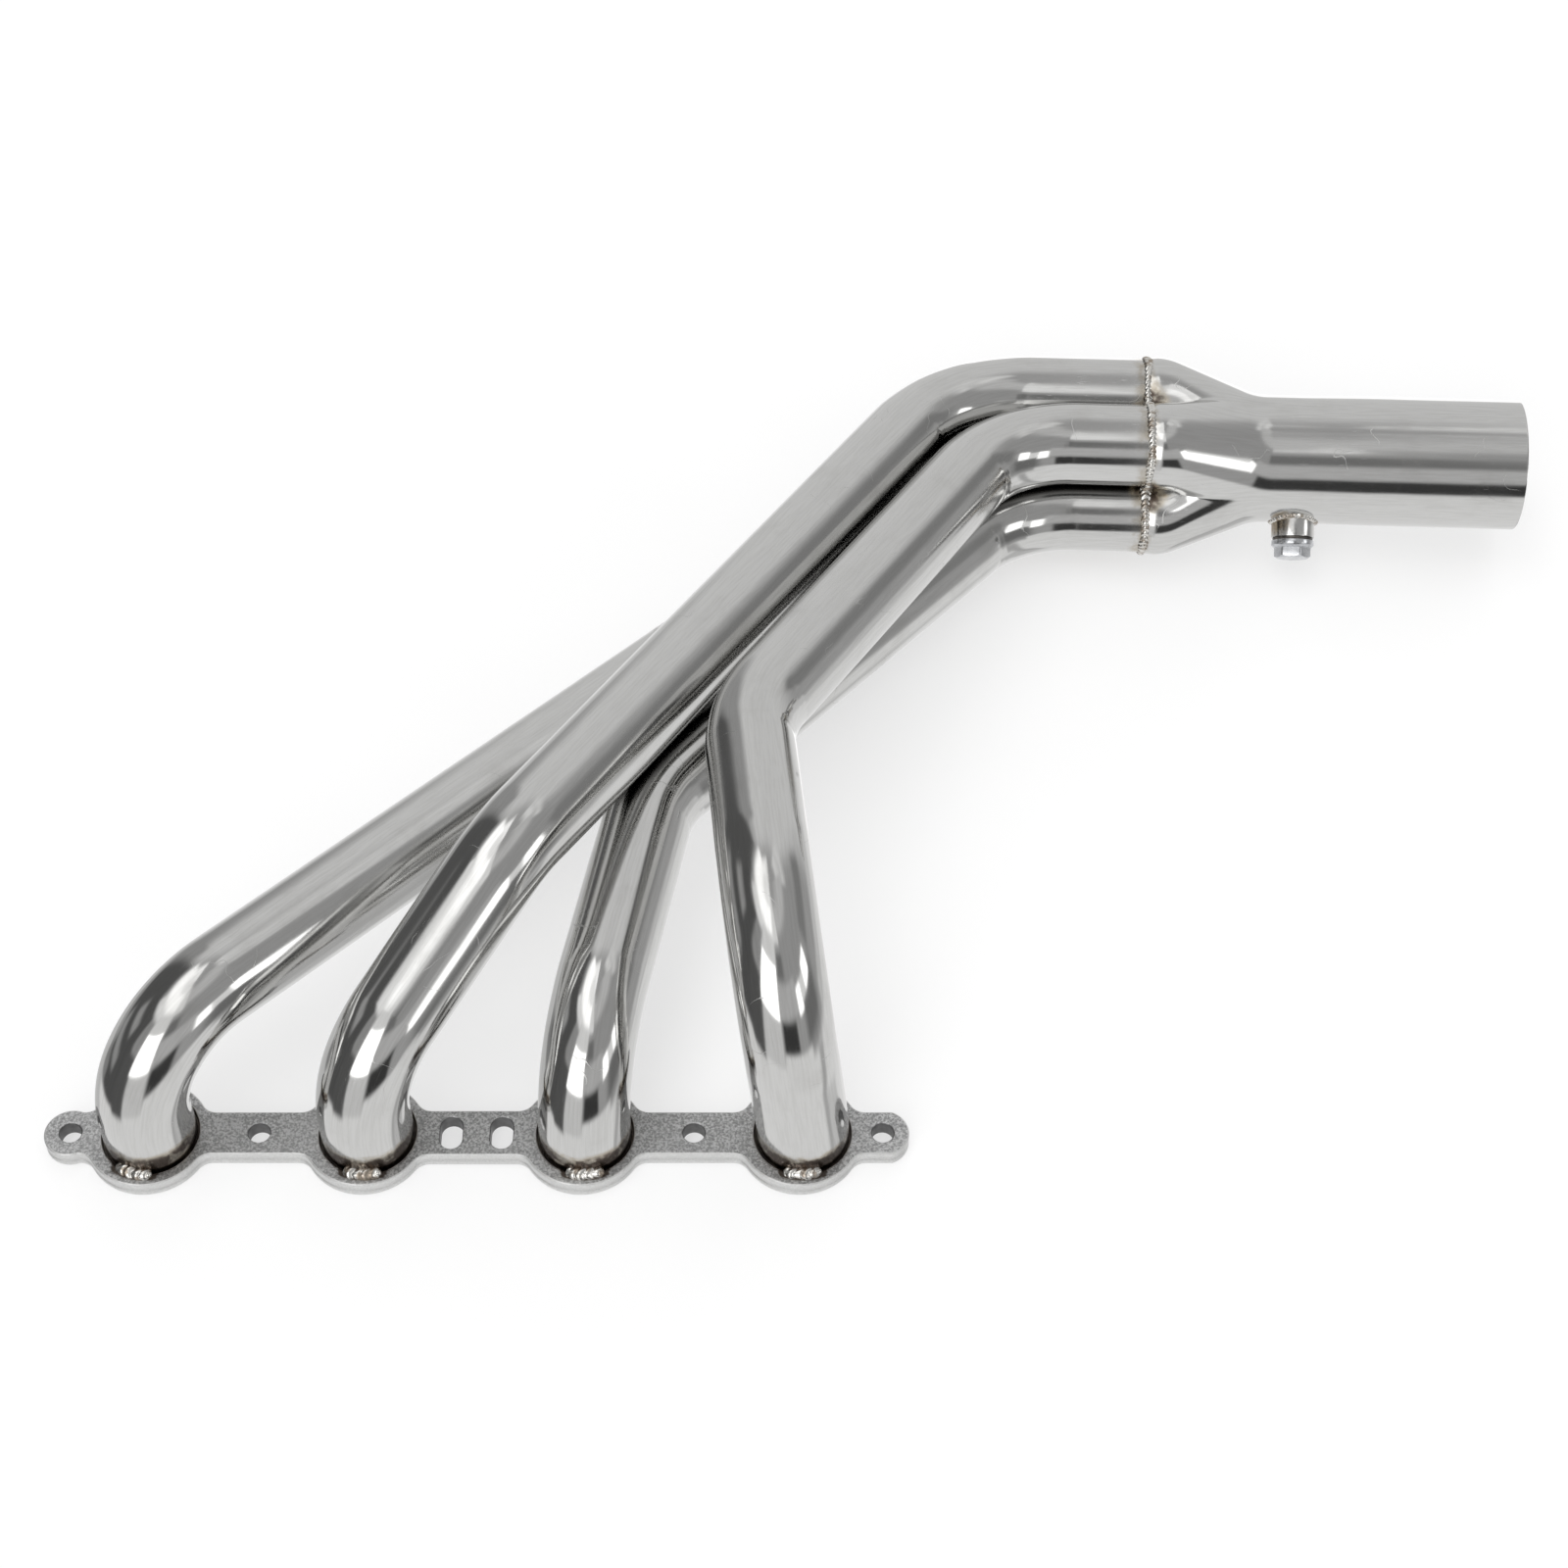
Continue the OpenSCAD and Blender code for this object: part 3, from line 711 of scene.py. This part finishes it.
def make_collector(material):
    columns = COLLECTOR_COLUMNS
    angles = ring_angles(columns) + CLOVER_TURN
    off = off_lobe(angles)
    # cross-sections, close together along the taper and the step
    runs = [np.arange(0, 76, 1.0), np.arange(76, 104, 4.0), np.arange(104, 116, 1.0),
            np.arange(116, COLLECTOR_L - 1, 4.0), [COLLECTOR_L - 1, COLLECTOR_L - 0.4]]
    stations = np.concatenate(runs)
    skin = np.array([clover_radius(x, off) for x in stations])
    step_end = COLLECTOR_L - SIZED_L
    # polishing has blended the step into a long slope
    slope = smoothstep(stations, step_end - 4 * STEP_L, step_end + 4 * STEP_L)
    skin += (PIPE_R - UNSIZED_R) * slope[:, None]
    # the forming tool leaves a small round at the bottom of each fold
    kernel = np.exp(-((np.arange(-5, 6) / 1.6) ** 2))
    kernel /= kernel.sum()
    soft = sum(k * np.roll(skin, n - 5, 1) for n, k in enumerate(kernel))
    wave = polish_waves(stations, angles, 21, 0.02, smoothstep(stations, 80, 10))
    outer = np.minimum(soft, skin + 0.35) - POLISH_CUT - wave
    inner = soft - WALL

    def rings(radii, xs):
        return np.stack([np.broadcast_to(np.asarray(xs)[:, None], radii.shape),
                         radii * np.cos(angles)[None, :], radii * np.sin(angles)[None, :]], -1)

    end = np.array([[PIPE_R - 0.12], [PIPE_R - 0.4], [PIPE_R - WALL + 0.3], [PIPE_R - WALL]])
    rim = rings(np.broadcast_to(end, (4, columns)),
                [COLLECTOR_L - 0.12, COLLECTOR_L, COLLECTOR_L, COLLECTOR_L - 0.3])
    whole = np.concatenate([rings(outer, stations), rim, rings(inner[::-1], stations[::-1])])
    rows = len(whole)
    flat = whole.reshape(-1, 3)
    points = collector_to_frame(flat)
    turns = np.tile(angles, rows)
    rolled = np.stack([PIPE_R * np.cos(turns), PIPE_R * np.sin(turns),
                       flat[:, 0] + COLLECTOR_PATTERN_SHIFT], 1) * MM
    valley = smoothstep(np.abs(np.tile(off, rows)), 0.45, 0.75)
    fields = {
        "rolled": rolled,
        "scorch": (1 - smoothstep(flat[:, 0], 2, 7 + 12 * valley)) * (0.35 + 0.65 * valley),
        # painted shade in the clover's folds near the inlet
        "shaded": 0.5 * valley * (1 - smoothstep(flat[:, 0], 5, 50)),
        "satin": np.full(len(flat), 0.25),
        "inside": np.repeat(np.arange(rows) > len(stations) + 1, columns),
    }
    faces = grid_faces(rows, columns, True, True)
    add_piece("merge_collector_formed", points, turn_outwards(points, faces), "header", material,
              ["merge_collector"], 45, fields)


# ---------------------------------------------------------------- bung, washer and plug

def lathe(profile, columns):
    """Points and faces of a closed (radius, height) profile turned about Z."""
    angles = ring_angles(columns)
    p = np.array(profile, float)
    rings = np.stack([p[:, :1] * np.cos(angles), p[:, :1] * np.sin(angles),
                      np.broadcast_to(p[:, 1:], (len(p), columns))], -1)
    return rings.reshape(-1, 3), grid_faces(len(p), columns, True, True)


def make_bung(material):
    bore = THREAD_R + THREAD_GAP
    profile = [(BUNG_R, BUNG_ROOT), (BUNG_R, BUNG_FACE - 0.5), (BUNG_R - 0.12, BUNG_FACE - 0.15),
               (BUNG_R - 0.5, BUNG_FACE), (bore + 0.9, BUNG_FACE), (bore, BUNG_FACE - 0.8), (bore, BUNG_ROOT)]
    points, faces = lathe(profile, 128)
    placed = bung_to_frame(points)
    side = points[:, 0] / BUNG_R
    # heat tint on the side that faces the clover, fading towards the bung's face
    scorch = smoothstep(-side, -0.1, 0.8) * (1 - smoothstep(points[:, 2], BUNG_FACE - 4, BUNG_FACE + 1))
    add_piece("sensor_bung_turned", placed, turn_outwards(placed, faces), "header", material,
              ["sensor_bung"], 30, {"scorch": scorch})


def make_washer(material):
    low, high = BUNG_FACE, BUNG_FACE + WASHER_T
    r, hole = COLLAR_R - 0.5, THREAD_R + THREAD_GAP
    profile = [(r - 0.5, low), (r - 0.1, low + 0.3), (r - 0.35, (low + high) / 2), (r - 0.1, high - 0.3),
               (r - 0.5, high), (hole, high), (hole, low)]
    points, faces = lathe(profile, 128)
    placed = bung_to_frame(points)
    add_piece("plug_washer_crushed", placed, turn_outwards(placed, faces), "washer", material,
              ["plug_washer"], 60)


def make_plug(material):
    seat = BUNG_FACE + WASHER_T
    tip = BUNG_FACE - PLUG_REACH
    shank = [(THREAD_R - 1.2, tip), (THREAD_R, tip + 1.2), (THREAD_R, seat)]
    collar = [(COLLAR_R - 0.3, seat), (COLLAR_R, seat + 0.3), (COLLAR_R, seat + COLLAR_H - 1.7),
              (COLLAR_R - 0.1, seat + COLLAR_H - 1.45), (COLLAR_R - 1.5, seat + COLLAR_H - 0.1),
              (COLLAR_R - 1.8, seat + COLLAR_H)]
    columns = 180
    angles = ring_angles(columns)
    flat_r = HEX_AF / 2 / np.cos((angles - HEX_TURN) % (math.pi / 3) - math.pi / 6)
    corner = HEX_AF / math.sqrt(3)
    hexagon = np.minimum(flat_r, corner - 0.25)
    rings = [(np.full(columns, r), np.full(columns, z)) for r, z in shank + collar]
    base = seat + COLLAR_H
    top = base + HEX_H
    crown = HEX_AF / 2 - 0.4
    slope = math.tan(math.radians(30))
    shoulder = top - np.clip(hexagon - crown, 0, None) * slope
    rings.append((hexagon + 0.25, np.full(columns, base)))
    rings.append((hexagon, np.full(columns, base + 0.3)))
    rings.append((hexagon, shoulder - 0.25))
    rings.append((hexagon - 0.1, shoulder - 0.02))
    rings.append((np.full(columns, crown + 0.05), np.full(columns, top - 0.02)))
    rings.append((np.full(columns, crown - 0.3), np.full(columns, top)))
    points = np.concatenate([np.stack([r * np.cos(angles), r * np.sin(angles), z], 1) for r, z in rings])
    faces = grid_faces(len(rings), columns, False, True)
    # the two round ends, as fans about a point on the axis
    for start, z, ahead in ((0, tip, 1), ((len(rings) - 1) * columns, top, 0)):
        middle = len(points)
        points = np.vstack([points, [[0, 0, z]]])
        for c in range(columns):
            a, b = start + (c + ahead) % columns, start + (c + 1 - ahead) % columns
            faces.append((middle, a, b))
    placed = bung_to_frame(points)
    add_piece("sensor_plug_plated", placed, turn_outwards(placed, faces), "plug", material,
              ["sensor_plug"], 25)


# ---------------------------------------------------------------- materials

class Nodes:
    """Short names for building a material's node tree."""

    def __init__(self, name, metallic, roughness, colour):
        self.material = bpy.data.materials.new(name)
        self.material.use_nodes = True
        self.tree = self.material.node_tree
        self.shader = self.tree.nodes["Principled BSDF"]
        self.shader.inputs["Metallic"].default_value = metallic
        self.shader.inputs["Roughness"].default_value = roughness
        self.shader.inputs["Base Color"].default_value = (*colour, 1)

    def link(self, source, target):
        self.tree.links.new(source, target)

    def attribute(self, name, output="Fac"):
        node = self.tree.nodes.new("ShaderNodeAttribute")
        node.attribute_name = name
        return node.outputs[output]

    def place(self, scale=(1, 1, 1), source=None):
        """Coordinates in metres, stretched by scale."""
        if source is None:
            source = self.tree.nodes.new("ShaderNodeTexCoord").outputs["Object"]
        node = self.tree.nodes.new("ShaderNodeMapping")
        node.inputs["Scale"].default_value = scale
        self.link(source, node.inputs["Vector"])
        return node.outputs["Vector"]

    def noise(self, where, scale, detail=2.0, roughness=0.5):
        node = self.tree.nodes.new("ShaderNodeTexNoise")
        node.inputs["Scale"].default_value = scale
        node.inputs["Detail"].default_value = detail
        node.inputs["Roughness"].default_value = roughness
        self.link(where, node.inputs["Vector"])
        return node.outputs["Fac"]

    def remap(self, value, low, high, to_low, to_high):
        node = self.tree.nodes.new("ShaderNodeMapRange")
        node.interpolation_type = "SMOOTHSTEP"
        limits = {"From Min": low, "From Max": high, "To Min": to_low, "To Max": to_high}
        for key, number in limits.items():
            node.inputs[key].default_value = number
        self.link(value, node.inputs["Value"])
        return node.outputs["Result"]

    def math(self, kind, a, b):
        node = self.tree.nodes.new("ShaderNodeMath")
        node.operation = kind
        for socket, value in zip(node.inputs, (a, b)):
            if isinstance(value, (int, float)):
                socket.default_value = value
            else:
                self.link(value, socket)
        return node.outputs["Value"]

    def mix(self, factor, a, b):
        node = self.tree.nodes.new("ShaderNodeMix")
        node.data_type = "RGBA"
        self.link(factor, node.inputs["Factor"])
        for key, value in (("A", a), ("B", b)):
            socket = [s for s in node.inputs if s.name == key and s.type == "RGBA"][0]
            if isinstance(value, tuple):
                socket.default_value = (*value, 1)
            else:
                self.link(value, socket)
        return [s for s in node.outputs if s.type == "RGBA"][0]

    def bump(self, height, strength, distance, normal=None):
        node = self.tree.nodes.new("ShaderNodeBump")
        node.inputs["Strength"].default_value = strength
        node.inputs["Distance"].default_value = distance
        self.link(height, node.inputs["Height"])
        if normal is not None:
            self.link(normal, node.inputs["Normal"])
        return node.outputs["Normal"]

    def finish(self, colour=None, roughness=None, normal=None):
        for key, value in (("Base Color", colour), ("Roughness", roughness), ("Normal", normal)):
            if value is not None:
                self.link(value, self.shader.inputs[key])
        return self.material


def polished_steel():
    n = Nodes("polished_steel", 1.0, 0.1, (0.63, 0.627, 0.617))
    rolled = n.attribute("rolled", "Vector")
    here = n.place()
    streaks = n.noise(n.place((1, 1, 0.06), rolled), 900, 3, 0.6)
    clouds = n.noise(here, 26, 4, 0.6)
    specks = n.noise(here, 260, 2, 0.5)
    # where the buffing wheel left a satin haze, and short scuffs
    haze = n.remap(clouds, 0.50, 0.74, 0.0, 1.0)
    scuffs = n.remap(n.noise(n.place((1, 1, 0.05), rolled), 2400, 1, 0.5), 0.66, 0.76, 0.0, 1.0)
    scuffs = n.math("MULTIPLY", scuffs, n.remap(n.noise(here, 17, 2, 0.5), 0.50, 0.62, 0.0, 1.0))
    rough = n.math("ADD", n.remap(streaks, 0.3, 0.75, 0.07, 0.12), n.math("MULTIPLY", haze, 0.05))
    rough = n.math("ADD", rough, n.remap(specks, 0.62, 0.74, 0.0, 0.03))
    rough = n.math("ADD", rough, n.math("MULTIPLY", scuffs, 0.16))
    rough = n.math("ADD", rough, n.math("MULTIPLY", n.attribute("satin"), 0.05))
    # stray handling scratches, each a short curved line
    line = n.math("ABSOLUTE", n.math("SUBTRACT", n.noise(here, 55, 1, 0.4), 0.5), 0)
    line = n.remap(line, 0.0, 0.008, 1.0, 0.0)
    line = n.math("MULTIPLY", line, n.remap(n.noise(here, 38, 1, 0.5), 0.60, 0.66, 0.0, 1.0))
    rough = n.math("ADD", rough, n.math("MULTIPLY", line, 0.3))
    # painted shade between neighbouring tubes and in the collector's folds darkens the colour nearly to
    # black, and the metal is a little rougher there, where the wheel can't reach
    shaded = n.remap(n.attribute("shaded"), 0.1, 0.9, 0.0, 1.0)
    rough = n.math("ADD", rough, n.math("MULTIPLY", shaded, 0.05))
    dull = n.mix(n.math("MULTIPLY", haze, 0.6), (0.66, 0.658, 0.648), (0.57, 0.565, 0.55))
    dull = n.mix(n.remap(streaks, 0.38, 0.66, 0.0, 0.28), dull, (0.52, 0.515, 0.50))
    # the painted shade, nearly black
    dull = n.mix(n.math("MULTIPLY", shaded, 0.9), dull, (0.08, 0.077, 0.072))
    patchy = n.noise(here, 120, 3, 0.6)
    burnt = n.math("MULTIPLY", n.attribute("scorch"), n.remap(patchy, 0.3, 0.65, 0.5, 1.15))
    straw = n.mix(n.remap(burnt, 0.15, 0.55, 0.0, 1.0), dull, (0.47, 0.43, 0.365))
    brown = n.mix(n.remap(burnt, 0.42, 0.85, 0.0, 1.0), straw, (0.12, 0.095, 0.08))
    rough = n.math("ADD", rough, n.math("MULTIPLY", burnt, 0.15))
    # nobody polishes the inside
    inside = n.attribute("inside")
    brown = n.mix(inside, brown, (0.40, 0.39, 0.375))
    rough = n.math("ADD", rough, n.math("MULTIPLY", inside, 0.4))
    relief = n.bump(streaks, 0.05, 0.00002)
    relief = n.bump(line, 0.25, 0.00002, relief)
    return n.finish(brown, rough, relief)


def blasted_steel():
    n = Nodes("blasted_steel", 1.0, 0.5, (0.42, 0.42, 0.42))
    here = n.place()
    grain = n.noise(here, 900, 2, 0.7)
    coarse = n.noise(here, 380, 3, 0.6)
    clouds = n.noise(here, 30, 3, 0.6)
    tone = n.mix(n.remap(grain, 0.38, 0.62, 0, 1), (0.36, 0.36, 0.36), (0.76, 0.76, 0.76))
    tone = n.mix(n.remap(clouds, 0.35, 0.7, 0, 0.25), tone, (0.46, 0.46, 0.46))
    edge = n.attribute("edge")
    tone = n.mix(n.remap(edge, 0.4, 1.0, 0, 0.8), tone, (0.84, 0.84, 0.83))
    # painted shade on the walls of the bolt holes and slots
    tone = n.mix(n.attribute("bore"), tone, (0.15, 0.15, 0.15))
    tone = n.mix(n.remap(n.attribute("scorch"), 0.1, 0.9, 0, 0.9), tone, (0.07, 0.05, 0.035))
    rough = n.remap(coarse, 0.3, 0.7, 0.42, 0.56)
    normal = n.bump(coarse, 0.3, 0.00015)
    normal = n.bump(grain, 0.7, 0.00012, normal)
    return n.finish(tone, rough, normal)


def weld_metal():
    n = Nodes("weld_metal", 1.0, 0.25, (0.6, 0.57, 0.52))
    here = n.place()
    blotch = n.noise(here, 240, 3, 0.6)
    fine = n.noise(here, 1200, 2, 0.6)
    crease = n.attribute("crease")
    burnt = n.math("MULTIPLY", n.attribute("scorch"), 0.5)
    burnt = n.math("ADD", burnt, n.remap(blotch, 0.35, 0.7, 0, 0.6))
    tone = n.mix(n.remap(burnt, 0.40, 0.85, 0, 0.9), (0.76, 0.745, 0.71), (0.34, 0.28, 0.22))
    # painted shade at the toes and between the ripples
    tone = n.mix(n.remap(crease, 0.5, 1.0, 0, 0.8), tone, (0.12, 0.095, 0.075))
    rough = n.remap(blotch, 0.3, 0.7, 0.16, 0.38)
    return n.finish(tone, rough, n.bump(fine, 0.25, 0.00008))


def turned_steel():
    n = Nodes("turned_steel", 1.0, 0.18, (0.66, 0.65, 0.63))
    here = n.place()
    blotch = n.noise(here, 160, 3, 0.6)
    burnt = n.math("MULTIPLY", n.attribute("scorch"), n.remap(blotch, 0.3, 0.65, 0.6, 1.1))
    tone = n.mix(n.remap(burnt, 0.1, 0.5, 0, 1), (0.68, 0.675, 0.66), (0.40, 0.34, 0.26))
    tone = n.mix(n.remap(burnt, 0.45, 0.95, 0, 1), tone, (0.13, 0.09, 0.06))
    rough = n.remap(n.noise(here, 700, 2, 0.5), 0.3, 0.7, 0.12, 0.24)
    return n.finish(tone, rough, n.bump(n.noise(here, 1100, 2, 0.5), 0.08, 0.00004))


def bright_zinc():
    n = Nodes("bright_zinc", 1.0, 0.22, (0.74, 0.75, 0.78))
    here = n.place()
    cloud = n.noise(here, 110, 3, 0.6)
    tone = n.mix(n.remap(cloud, 0.35, 0.7, 0, 1), (0.66, 0.67, 0.69), (0.52, 0.53, 0.55))
    rough = n.remap(n.noise(here, 500, 3, 0.6), 0.3, 0.7, 0.15, 0.32)
    return n.finish(tone, rough, n.bump(n.noise(here, 900, 2, 0.5), 0.12, 0.00005))


def washer_metal():
    n = Nodes("washer_metal", 1.0, 0.4, (0.12, 0.11, 0.10))
    here = n.place()
    cloud = n.noise(here, 300, 3, 0.6)
    tone = n.mix(n.remap(cloud, 0.35, 0.7, 0, 1), (0.08, 0.075, 0.07), (0.22, 0.20, 0.18))
    return n.finish(tone, n.remap(cloud, 0.3, 0.7, 0.3, 0.5), n.bump(cloud, 0.2, 0.0001))


# ---------------------------------------------------------------- studio

def make_camera():
    pitch = math.radians(CAMERA_PITCH)
    data = bpy.data.cameras.new("camera")
    data.lens = LENS
    data.sensor_width = 36
    data.clip_start = 0.05
    data.clip_end = 50
    camera = bpy.data.objects.new("camera", data)
    camera.location = (AIM[0], AIM[1] - CAMERA_DISTANCE * math.cos(pitch),
                       AIM[2] + CAMERA_DISTANCE * math.sin(pitch))
    camera.rotation_euler = (math.pi / 2 - pitch, 0, 0)
    scene.collection.objects.link(camera)
    scene.camera = camera


def make_floor():
    """A wide pale floor just under the port face."""
    mesh = bpy.data.meshes.new("floor")
    half = 12
    z = -0.0006
    corners = [(-half, -half, z), (half, -half, z), (half, half, z), (-half, half, z)]
    mesh.from_pydata(corners, [], [(0, 1, 2, 3)])
    n = Nodes("pale_floor", 0.0, 0.9, (0.40, 0.40, 0.40))
    grain = n.noise(n.place(), 6, 2, 0.5)
    # a lit table: its own glow keeps the shadows pale
    n.shader.inputs["Emission Color"].default_value = (1, 1, 1, 1)
    n.shader.inputs["Emission Strength"].default_value = 0.58
    tone = n.mix(n.remap(grain, 0.3, 0.7, 0, 1), (0.41, 0.41, 0.41), (0.40, 0.40, 0.40))
    mesh.materials.append(n.finish(tone))
    floor = bpy.data.objects.new("floor", mesh)
    # the metal reflects the studio's own floor panels instead
    floor.visible_glossy = False
    scene.collection.objects.link(floor)


class Sky:
    """Paints the studio round the object: soft panels by compass bearing and height, in degrees."""

    def __init__(self, tree, level):
        self.tree = tree
        split = tree.nodes.new("ShaderNodeSeparateXYZ")
        tree.links.new(tree.nodes.new("ShaderNodeTexCoord").outputs["Generated"], split.inputs[0])
        x, y, z = split.outputs
        back = self.math("MULTIPLY", y, -1.0)
        self.bearing = self.math("DEGREES", self.math("ARCTAN2", x, back))
        self.height = self.math("DEGREES", self.math("ARCSINE", z))
        self.light = level

    def math(self, kind, *values):
        node = self.tree.nodes.new("ShaderNodeMath")
        node.operation = kind
        for socket, value in zip(node.inputs, values):
            if isinstance(value, (int, float)):
                socket.default_value = value
            else:
                self.tree.links.new(value, socket)
        return node.outputs["Value"]

    def band(self, value, low, high, soft):
        """1 between low and high, falling to 0 across soft degrees outside them."""
        middle, half = (low + high) / 2, (high - low) / 2
        off = self.math("ABSOLUTE", self.math("SUBTRACT", value, middle))
        node = self.tree.nodes.new("ShaderNodeMapRange")
        node.interpolation_type = "SMOOTHSTEP"
        for key, number in (("From Min", half + soft / 2), ("From Max", half - soft / 2)):
            node.inputs[key].default_value = number
        self.tree.links.new(off, node.inputs["Value"])
        return node.outputs["Result"]

    def panel(self, bearings, heights, level, soft, soft_height=None):
        across = self.band(self.bearing, *bearings, soft)
        up = self.band(self.height, *heights, soft_height or soft)
        share = self.math("MULTIPLY", across, up)
        rise = self.math("SUBTRACT", level, self.light)
        self.light = self.math("MULTIPLY_ADD", share, rise, self.light)


def make_world():
    """The studio's panels light the metal, and the camera sees plain white behind the object."""
    world = bpy.data.worlds.new("studio")
    scene.world = world
    world.use_nodes = True
    tree = world.node_tree
    sky = Sky(tree, ROOM_LEVEL)
    for panel in PANELS:
        sky.panel(*panel)
    ray = tree.nodes.new("ShaderNodeLightPath").outputs
    plain = sky.math("SUBTRACT", 1.0, sky.light)
    light = sky.math("MULTIPLY_ADD", ray["Is Camera Ray"], plain, sky.light)
    boost = sky.math("MULTIPLY_ADD", ray["Is Diffuse Ray"], FLOOR_BOOST, 1.0)
    light = sky.math("MULTIPLY", light, boost)
    background = tree.nodes["Background"]
    background.inputs["Color"].default_value = (1, 1, 1, 1)
    tree.links.new(light, background.inputs["Strength"])


STEEL = polished_steel()
WELD = weld_metal()
TURNED = turned_steel()
make_camera()
make_floor()
make_world()
for index in range(4):
    make_tube(index, STEEL)
    make_flange_weld(index, WELD)
make_flange(blasted_steel())
make_collector(STEEL)
make_collector_weld(WELD)
make_bung(TURNED)
make_bung_weld(WELD)
make_washer(washer_metal())
make_plug(bright_zinc())

# the CAD nodes that stay as they are get a finish of their own
for name, material in [("merge_plug", TURNED)] + [(f"port_weld_{i}", WELD) for i in range(1, 5)]:
    bpy.data.objects[name].material_slots[0].material = material

scene.view_settings.view_transform = "Standard"
